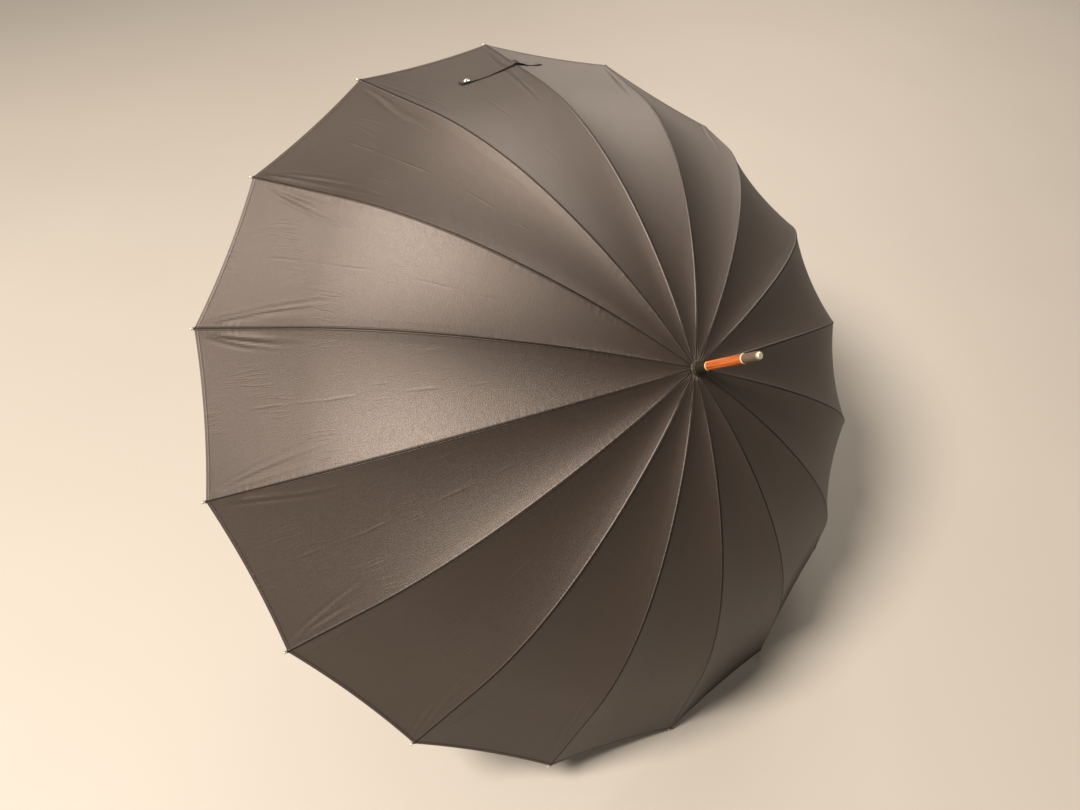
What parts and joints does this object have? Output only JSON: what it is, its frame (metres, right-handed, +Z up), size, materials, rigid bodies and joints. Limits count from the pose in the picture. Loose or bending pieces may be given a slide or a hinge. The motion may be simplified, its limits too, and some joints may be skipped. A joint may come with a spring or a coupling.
{
  "type": "stick umbrella",
  "caption": "Open stick umbrella with curved channel ribs, stretchers and a sliding runner, wooden shaft and crook handle, dark woven canopy and tie strap.",
  "frame": {"origin": "on the floor, under the middle of the whole umbrella as it lies open on two rib tips and its crook", "axes": "+Z up, -Y the way the ferrule leans, +X to the right of someone who faces the ferrule's side"},
  "size_m": [1.0974, 0.772, 0.7996],
  "materials": {
    "shaft_wood": "orange-brown stained hardwood under clear varnish",
    "handle_wood": "darker stained hardwood under clear varnish",
    "collar_metal": "polished brass, lightly worn",
    "black_metal": "semi-gloss black with brass showing on worn edges",
    "sleeve_metal": "dark bronze paint, satin",
    "tip_metal": "turned light metal",
    "notch_metal": "nickel-plated casting",
    "runner_metal": "black lacquer with bright worn edges",
    "catch_steel": "bright spring steel",
    "rib_steel": "black lacquered folded sheet steel",
    "cloth": "dark charcoal brown plain weave with a soft sheen",
    "strap_cloth": "doubled canopy cloth with topstitched edges"
  },
  "bodies": {
    "shaft": {"shaft": "shaft_wood", "handle": "handle_wood", "handle_collar": "collar_metal", "top_cap": "black_metal", "ferrule_sleeve": "sleeve_metal", "ferrule_tip": "tip_metal", "notch": "notch_metal", "canopy": "cloth"},
    "rib_01_inner": {"rib_01_inner": "rib_steel"},
    "rib_01_outer": {"rib_01_outer": "rib_steel"},
    "stretcher_01": {"stretcher_01": "rib_steel"},
    "rib_02_inner": {"rib_02_inner": "rib_steel"},
    "rib_02_outer": {"rib_02_outer": "rib_steel"},
    "stretcher_02": {"stretcher_02": "rib_steel"},
    "rib_03_inner": {"rib_03_inner": "rib_steel"},
    "rib_03_outer": {"rib_03_outer": "rib_steel"},
    "stretcher_03": {"stretcher_03": "rib_steel"},
    "rib_04_inner": {"rib_04_inner": "rib_steel"},
    "rib_04_outer": {"rib_04_outer": "rib_steel", "tie_strap": "strap_cloth"},
    "stretcher_04": {"stretcher_04": "rib_steel"},
    "rib_05_inner": {"rib_05_inner": "rib_steel"},
    "rib_05_outer": {"rib_05_outer": "rib_steel"},
    "stretcher_05": {"stretcher_05": "rib_steel"},
    "rib_06_inner": {"rib_06_inner": "rib_steel"},
    "rib_06_outer": {"rib_06_outer": "rib_steel"},
    "stretcher_06": {"stretcher_06": "rib_steel"},
    "rib_07_inner": {"rib_07_inner": "rib_steel"},
    "rib_07_outer": {"rib_07_outer": "rib_steel"},
    "stretcher_07": {"stretcher_07": "rib_steel"},
    "rib_08_inner": {"rib_08_inner": "rib_steel"},
    "rib_08_outer": {"rib_08_outer": "rib_steel"},
    "stretcher_08": {"stretcher_08": "rib_steel"},
    "rib_09_inner": {"rib_09_inner": "rib_steel"},
    "rib_09_outer": {"rib_09_outer": "rib_steel"},
    "stretcher_09": {"stretcher_09": "rib_steel"},
    "rib_10_inner": {"rib_10_inner": "rib_steel"},
    "rib_10_outer": {"rib_10_outer": "rib_steel"},
    "stretcher_10": {"stretcher_10": "rib_steel"},
    "rib_11_inner": {"rib_11_inner": "rib_steel"},
    "rib_11_outer": {"rib_11_outer": "rib_steel"},
    "stretcher_11": {"stretcher_11": "rib_steel"},
    "rib_12_inner": {"rib_12_inner": "rib_steel"},
    "rib_12_outer": {"rib_12_outer": "rib_steel"},
    "stretcher_12": {"stretcher_12": "rib_steel"},
    "rib_13_inner": {"rib_13_inner": "rib_steel"},
    "rib_13_outer": {"rib_13_outer": "rib_steel"},
    "stretcher_13": {"stretcher_13": "rib_steel"},
    "rib_14_inner": {"rib_14_inner": "rib_steel"},
    "rib_14_outer": {"rib_14_outer": "rib_steel"},
    "stretcher_14": {"stretcher_14": "rib_steel"},
    "rib_15_inner": {"rib_15_inner": "rib_steel"},
    "rib_15_outer": {"rib_15_outer": "rib_steel"},
    "stretcher_15": {"stretcher_15": "rib_steel"},
    "rib_16_inner": {"rib_16_inner": "rib_steel"},
    "rib_16_outer": {"rib_16_outer": "rib_steel"},
    "stretcher_16": {"stretcher_16": "rib_steel"},
    "runner": {"runner": "runner_metal"},
    "upper_catch": {"upper_catch": "catch_steel"},
    "lower_catch": {"lower_catch": "catch_steel"}
  },
  "joints": [
    {"name": "fold", "type": "hinge", "parent": "shaft", "child": "rib_01_inner", "pos_m": [0.01128, -0.20464, 0.60172], "axis": [-0.1951, 0.6781, 0.7086], "range_deg": [0, 75], "deforming": ["canopy", "tie_strap"]},
    {"name": "rib_01_flex", "type": "hinge", "parent": "rib_01_inner", "child": "rib_01_outer", "pos_m": [0.27376, -0.12667, 0.59937], "axis": [-0.1951, 0.6781, 0.7086], "range_deg": [-24, 0]},
    {"name": "stretcher_01_pivot", "type": "hinge", "parent": "rib_01_inner", "child": "stretcher_01", "pos_m": [0.26104, -0.12886, 0.59797], "axis": [-0.1951, 0.6781, 0.7086], "range_deg": [-150, 0]},
    {"name": "rib_02_fold", "type": "hinge", "parent": "shaft", "child": "rib_02_inner", "pos_m": [0.00956, -0.20178, 0.60472], "axis": [-0.5556, 0.5749, 0.6007], "range_deg": [0, 75]},
    {"name": "rib_02_flex", "type": "hinge", "parent": "rib_02_inner", "child": "rib_02_outer", "pos_m": [0.23208, -0.0571, 0.67207], "axis": [-0.5556, 0.5749, 0.6007], "range_deg": [-24, 0]},
    {"name": "stretcher_02_pivot", "type": "hinge", "parent": "rib_02_inner", "child": "stretcher_02", "pos_m": [0.2213, -0.06253, 0.66729], "axis": [-0.5556, 0.5749, 0.6007], "range_deg": [-150, 0]},
    {"name": "rib_03_fold", "type": "hinge", "parent": "shaft", "child": "rib_03_inner", "pos_m": [0.00639, -0.19958, 0.60701], "axis": [-0.8315, 0.3841, 0.4014], "range_deg": [0, 75]},
    {"name": "rib_03_flex", "type": "hinge", "parent": "rib_03_inner", "child": "rib_03_outer", "pos_m": [0.15507, -0.00386, 0.72771], "axis": [-0.8315, 0.3841, 0.4014], "range_deg": [-24, 0]},
    {"name": "stretcher_03_pivot", "type": "hinge", "parent": "rib_03_inner", "child": "stretcher_03", "pos_m": [0.14787, -0.01176, 0.72034], "axis": [-0.8315, 0.3841, 0.4014], "range_deg": [-150, 0]},
    {"name": "rib_04_fold", "type": "hinge", "parent": "shaft", "child": "rib_04_inner", "pos_m": [0.00224, -0.1984, 0.60825], "axis": [-0.9808, 0.1349, 0.141], "range_deg": [0, 75]},
    {"name": "rib_04_flex", "type": "hinge", "parent": "rib_04_inner", "child": "rib_04_outer", "pos_m": [0.05445, 0.02496, 0.75782], "axis": [-0.9808, 0.1349, 0.141], "range_deg": [-24, 0]},
    {"name": "stretcher_04_pivot", "type": "hinge", "parent": "rib_04_inner", "child": "stretcher_04", "pos_m": [0.05192, 0.01572, 0.74905], "axis": [-0.9808, 0.1349, 0.141], "range_deg": [-150, 0]},
    {"name": "rib_05_fold", "type": "hinge", "parent": "shaft", "child": "rib_05_inner", "pos_m": [-0.00224, -0.1984, 0.60825], "axis": [-0.9808, -0.1349, -0.141], "range_deg": [0, 75]},
    {"name": "rib_05_flex", "type": "hinge", "parent": "rib_05_inner", "child": "rib_05_outer", "pos_m": [-0.05445, 0.02496, 0.75782], "axis": [-0.9808, -0.1349, -0.141], "range_deg": [-24, 0]},
    {"name": "stretcher_05_pivot", "type": "hinge", "parent": "rib_05_inner", "child": "stretcher_05", "pos_m": [-0.05192, 0.01572, 0.74905], "axis": [-0.9808, -0.1349, -0.141], "range_deg": [-150, 0]},
    {"name": "rib_06_fold", "type": "hinge", "parent": "shaft", "child": "rib_06_inner", "pos_m": [-0.00639, -0.19958, 0.60701], "axis": [-0.8315, -0.3841, -0.4014], "range_deg": [0, 75]},
    {"name": "rib_06_flex", "type": "hinge", "parent": "rib_06_inner", "child": "rib_06_outer", "pos_m": [-0.15507, -0.00386, 0.72771], "axis": [-0.8315, -0.3841, -0.4014], "range_deg": [-24, 0]},
    {"name": "stretcher_06_pivot", "type": "hinge", "parent": "rib_06_inner", "child": "stretcher_06", "pos_m": [-0.14787, -0.01176, 0.72034], "axis": [-0.8315, -0.3841, -0.4014], "range_deg": [-150, 0]},
    {"name": "rib_07_fold", "type": "hinge", "parent": "shaft", "child": "rib_07_inner", "pos_m": [-0.00956, -0.20178, 0.60472], "axis": [-0.5556, -0.5749, -0.6007], "range_deg": [0, 75]},
    {"name": "rib_07_flex", "type": "hinge", "parent": "rib_07_inner", "child": "rib_07_outer", "pos_m": [-0.23208, -0.0571, 0.67207], "axis": [-0.5556, -0.5749, -0.6007], "range_deg": [-24, 0]},
    {"name": "stretcher_07_pivot", "type": "hinge", "parent": "rib_07_inner", "child": "stretcher_07", "pos_m": [-0.2213, -0.06253, 0.66729], "axis": [-0.5556, -0.5749, -0.6007], "range_deg": [-150, 0]},
    {"name": "rib_08_fold", "type": "hinge", "parent": "shaft", "child": "rib_08_inner", "pos_m": [-0.01128, -0.20464, 0.60172], "axis": [-0.1951, -0.6781, -0.7086], "range_deg": [0, 75]},
    {"name": "rib_08_flex", "type": "hinge", "parent": "rib_08_inner", "child": "rib_08_outer", "pos_m": [-0.27376, -0.12667, 0.59937], "axis": [-0.1951, -0.6781, -0.7086], "range_deg": [-24, 0]},
    {"name": "stretcher_08_pivot", "type": "hinge", "parent": "rib_08_inner", "child": "stretcher_08", "pos_m": [-0.26104, -0.12886, 0.59797], "axis": [-0.1951, -0.6781, -0.7086], "range_deg": [-150, 0]},
    {"name": "rib_09_fold", "type": "hinge", "parent": "shaft", "child": "rib_09_inner", "pos_m": [-0.01128, -0.20775, 0.59848], "axis": [0.1951, -0.6781, -0.7086], "range_deg": [0, 75]},
    {"name": "rib_09_flex", "type": "hinge", "parent": "rib_09_inner", "child": "rib_09_outer", "pos_m": [-0.27376, -0.20197, 0.52068], "axis": [0.1951, -0.6781, -0.7086], "range_deg": [-24, 0]},
    {"name": "stretcher_09_pivot", "type": "hinge", "parent": "rib_09_inner", "child": "stretcher_09", "pos_m": [-0.26104, -0.20066, 0.52294], "axis": [0.1951, -0.6781, -0.7086], "range_deg": [-150, 0]},
    {"name": "rib_10_fold", "type": "hinge", "parent": "shaft", "child": "rib_10_inner", "pos_m": [-0.00956, -0.21061, 0.59548], "axis": [0.5556, -0.5749, -0.6007], "range_deg": [0, 75]},
    {"name": "rib_10_flex", "type": "hinge", "parent": "rib_10_inner", "child": "rib_10_outer", "pos_m": [-0.23208, -0.27153, 0.44799], "axis": [0.5556, -0.5749, -0.6007], "range_deg": [-24, 0]},
    {"name": "stretcher_10_pivot", "type": "hinge", "parent": "rib_10_inner", "child": "stretcher_10", "pos_m": [-0.2213, -0.26699, 0.45362], "axis": [0.5556, -0.5749, -0.6007], "range_deg": [-150, 0]},
    {"name": "rib_11_fold", "type": "hinge", "parent": "shaft", "child": "rib_11_inner", "pos_m": [-0.00639, -0.21281, 0.59319], "axis": [0.8315, -0.3841, -0.4014], "range_deg": [0, 75]},
    {"name": "rib_11_flex", "type": "hinge", "parent": "rib_11_inner", "child": "rib_11_outer", "pos_m": [-0.15507, -0.32477, 0.39235], "axis": [0.8315, -0.3841, -0.4014], "range_deg": [-24, 0]},
    {"name": "stretcher_11_pivot", "type": "hinge", "parent": "rib_11_inner", "child": "stretcher_11", "pos_m": [-0.14787, -0.31776, 0.40056], "axis": [0.8315, -0.3841, -0.4014], "range_deg": [-150, 0]},
    {"name": "rib_12_fold", "type": "hinge", "parent": "shaft", "child": "rib_12_inner", "pos_m": [-0.00224, -0.21399, 0.59195], "axis": [0.9808, -0.1349, -0.141], "range_deg": [0, 75]},
    {"name": "rib_12_flex", "type": "hinge", "parent": "rib_12_inner", "child": "rib_12_outer", "pos_m": [-0.05445, -0.35359, 0.36223], "axis": [0.9808, -0.1349, -0.141], "range_deg": [-24, 0]},
    {"name": "stretcher_12_pivot", "type": "hinge", "parent": "rib_12_inner", "child": "stretcher_12", "pos_m": [-0.05192, -0.34524, 0.37185], "axis": [0.9808, -0.1349, -0.141], "range_deg": [-150, 0]},
    {"name": "rib_13_fold", "type": "hinge", "parent": "shaft", "child": "rib_13_inner", "pos_m": [0.00224, -0.21399, 0.59195], "axis": [0.9808, 0.1349, 0.141], "range_deg": [0, 75]},
    {"name": "rib_13_flex", "type": "hinge", "parent": "rib_13_inner", "child": "rib_13_outer", "pos_m": [0.05445, -0.35359, 0.36223], "axis": [0.9808, 0.1349, 0.141], "range_deg": [-24, 0]},
    {"name": "stretcher_13_pivot", "type": "hinge", "parent": "rib_13_inner", "child": "stretcher_13", "pos_m": [0.05192, -0.34524, 0.37185], "axis": [0.9808, 0.1349, 0.141], "range_deg": [-150, 0]},
    {"name": "rib_14_fold", "type": "hinge", "parent": "shaft", "child": "rib_14_inner", "pos_m": [0.00639, -0.21281, 0.59319], "axis": [0.8315, 0.3841, 0.4014], "range_deg": [0, 75]},
    {"name": "rib_14_flex", "type": "hinge", "parent": "rib_14_inner", "child": "rib_14_outer", "pos_m": [0.15507, -0.32477, 0.39235], "axis": [0.8315, 0.3841, 0.4014], "range_deg": [-24, 0]},
    {"name": "stretcher_14_pivot", "type": "hinge", "parent": "rib_14_inner", "child": "stretcher_14", "pos_m": [0.14787, -0.31776, 0.40056], "axis": [0.8315, 0.3841, 0.4014], "range_deg": [-150, 0]},
    {"name": "rib_15_fold", "type": "hinge", "parent": "shaft", "child": "rib_15_inner", "pos_m": [0.00956, -0.21061, 0.59548], "axis": [0.5556, 0.5749, 0.6007], "range_deg": [0, 75]},
    {"name": "rib_15_flex", "type": "hinge", "parent": "rib_15_inner", "child": "rib_15_outer", "pos_m": [0.23208, -0.27153, 0.44799], "axis": [0.5556, 0.5749, 0.6007], "range_deg": [-24, 0]},
    {"name": "stretcher_15_pivot", "type": "hinge", "parent": "rib_15_inner", "child": "stretcher_15", "pos_m": [0.2213, -0.26699, 0.45362], "axis": [0.5556, 0.5749, 0.6007], "range_deg": [-150, 0]},
    {"name": "rib_16_fold", "type": "hinge", "parent": "shaft", "child": "rib_16_inner", "pos_m": [0.01128, -0.20775, 0.59848], "axis": [0.1951, 0.6781, 0.7086], "range_deg": [0, 75]},
    {"name": "rib_16_flex", "type": "hinge", "parent": "rib_16_inner", "child": "rib_16_outer", "pos_m": [0.27376, -0.20197, 0.52068], "axis": [0.1951, 0.6781, 0.7086], "range_deg": [-24, 0]},
    {"name": "stretcher_16_pivot", "type": "hinge", "parent": "rib_16_inner", "child": "stretcher_16", "pos_m": [0.26104, -0.20066, 0.52294], "axis": [0.1951, 0.6781, 0.7086], "range_deg": [-150, 0]},
    {"name": "runner_pivot", "type": "hinge", "parent": "stretcher_01", "child": "runner", "pos_m": [0.01128, -0.12178, 0.52242], "axis": [-0.1951, 0.6781, 0.7086], "range_deg": [0, 75]},
    {"name": "upper_catch_press", "type": "hinge", "parent": "shaft", "child": "upper_catch", "pos_m": [0, -0.07143, 0.47321], "axis": [-1, 0, 0], "range_deg": [-8, 0], "stiffness_Nm_per_rad": 0.02, "springref_deg": 5.73},
    {"name": "lower_catch_press", "type": "hinge", "parent": "shaft", "child": "lower_catch", "pos_m": [0, 0.17664, 0.23583], "axis": [-1, 0, 0], "range_deg": [0, 8], "stiffness_Nm_per_rad": 0.02, "springref_deg": -5.73}
  ],
  "couplings": [
    {"joint": "rib_01_flex", "follows": "fold", "ratio": -0.32},
    {"joint": "stretcher_01_pivot", "follows": "fold", "ratio": -2},
    {"joint": "rib_02_fold", "follows": "fold", "ratio": 1},
    {"joint": "rib_02_flex", "follows": "fold", "ratio": -0.32},
    {"joint": "stretcher_02_pivot", "follows": "fold", "ratio": -2},
    {"joint": "rib_03_fold", "follows": "fold", "ratio": 1},
    {"joint": "rib_03_flex", "follows": "fold", "ratio": -0.32},
    {"joint": "stretcher_03_pivot", "follows": "fold", "ratio": -2},
    {"joint": "rib_04_fold", "follows": "fold", "ratio": 1},
    {"joint": "rib_04_flex", "follows": "fold", "ratio": -0.32},
    {"joint": "stretcher_04_pivot", "follows": "fold", "ratio": -2},
    {"joint": "rib_05_fold", "follows": "fold", "ratio": 1},
    {"joint": "rib_05_flex", "follows": "fold", "ratio": -0.32},
    {"joint": "stretcher_05_pivot", "follows": "fold", "ratio": -2},
    {"joint": "rib_06_fold", "follows": "fold", "ratio": 1},
    {"joint": "rib_06_flex", "follows": "fold", "ratio": -0.32},
    {"joint": "stretcher_06_pivot", "follows": "fold", "ratio": -2},
    {"joint": "rib_07_fold", "follows": "fold", "ratio": 1},
    {"joint": "rib_07_flex", "follows": "fold", "ratio": -0.32},
    {"joint": "stretcher_07_pivot", "follows": "fold", "ratio": -2},
    {"joint": "rib_08_fold", "follows": "fold", "ratio": 1},
    {"joint": "rib_08_flex", "follows": "fold", "ratio": -0.32},
    {"joint": "stretcher_08_pivot", "follows": "fold", "ratio": -2},
    {"joint": "rib_09_fold", "follows": "fold", "ratio": 1},
    {"joint": "rib_09_flex", "follows": "fold", "ratio": -0.32},
    {"joint": "stretcher_09_pivot", "follows": "fold", "ratio": -2},
    {"joint": "rib_10_fold", "follows": "fold", "ratio": 1},
    {"joint": "rib_10_flex", "follows": "fold", "ratio": -0.32},
    {"joint": "stretcher_10_pivot", "follows": "fold", "ratio": -2},
    {"joint": "rib_11_fold", "follows": "fold", "ratio": 1},
    {"joint": "rib_11_flex", "follows": "fold", "ratio": -0.32},
    {"joint": "stretcher_11_pivot", "follows": "fold", "ratio": -2},
    {"joint": "rib_12_fold", "follows": "fold", "ratio": 1},
    {"joint": "rib_12_flex", "follows": "fold", "ratio": -0.32},
    {"joint": "stretcher_12_pivot", "follows": "fold", "ratio": -2},
    {"joint": "rib_13_fold", "follows": "fold", "ratio": 1},
    {"joint": "rib_13_flex", "follows": "fold", "ratio": -0.32},
    {"joint": "stretcher_13_pivot", "follows": "fold", "ratio": -2},
    {"joint": "rib_14_fold", "follows": "fold", "ratio": 1},
    {"joint": "rib_14_flex", "follows": "fold", "ratio": -0.32},
    {"joint": "stretcher_14_pivot", "follows": "fold", "ratio": -2},
    {"joint": "rib_15_fold", "follows": "fold", "ratio": 1},
    {"joint": "rib_15_flex", "follows": "fold", "ratio": -0.32},
    {"joint": "stretcher_15_pivot", "follows": "fold", "ratio": -2},
    {"joint": "rib_16_fold", "follows": "fold", "ratio": 1},
    {"joint": "rib_16_flex", "follows": "fold", "ratio": -0.32},
    {"joint": "stretcher_16_pivot", "follows": "fold", "ratio": -2},
    {"joint": "runner_pivot", "follows": "fold", "ratio": 1}
  ]
}
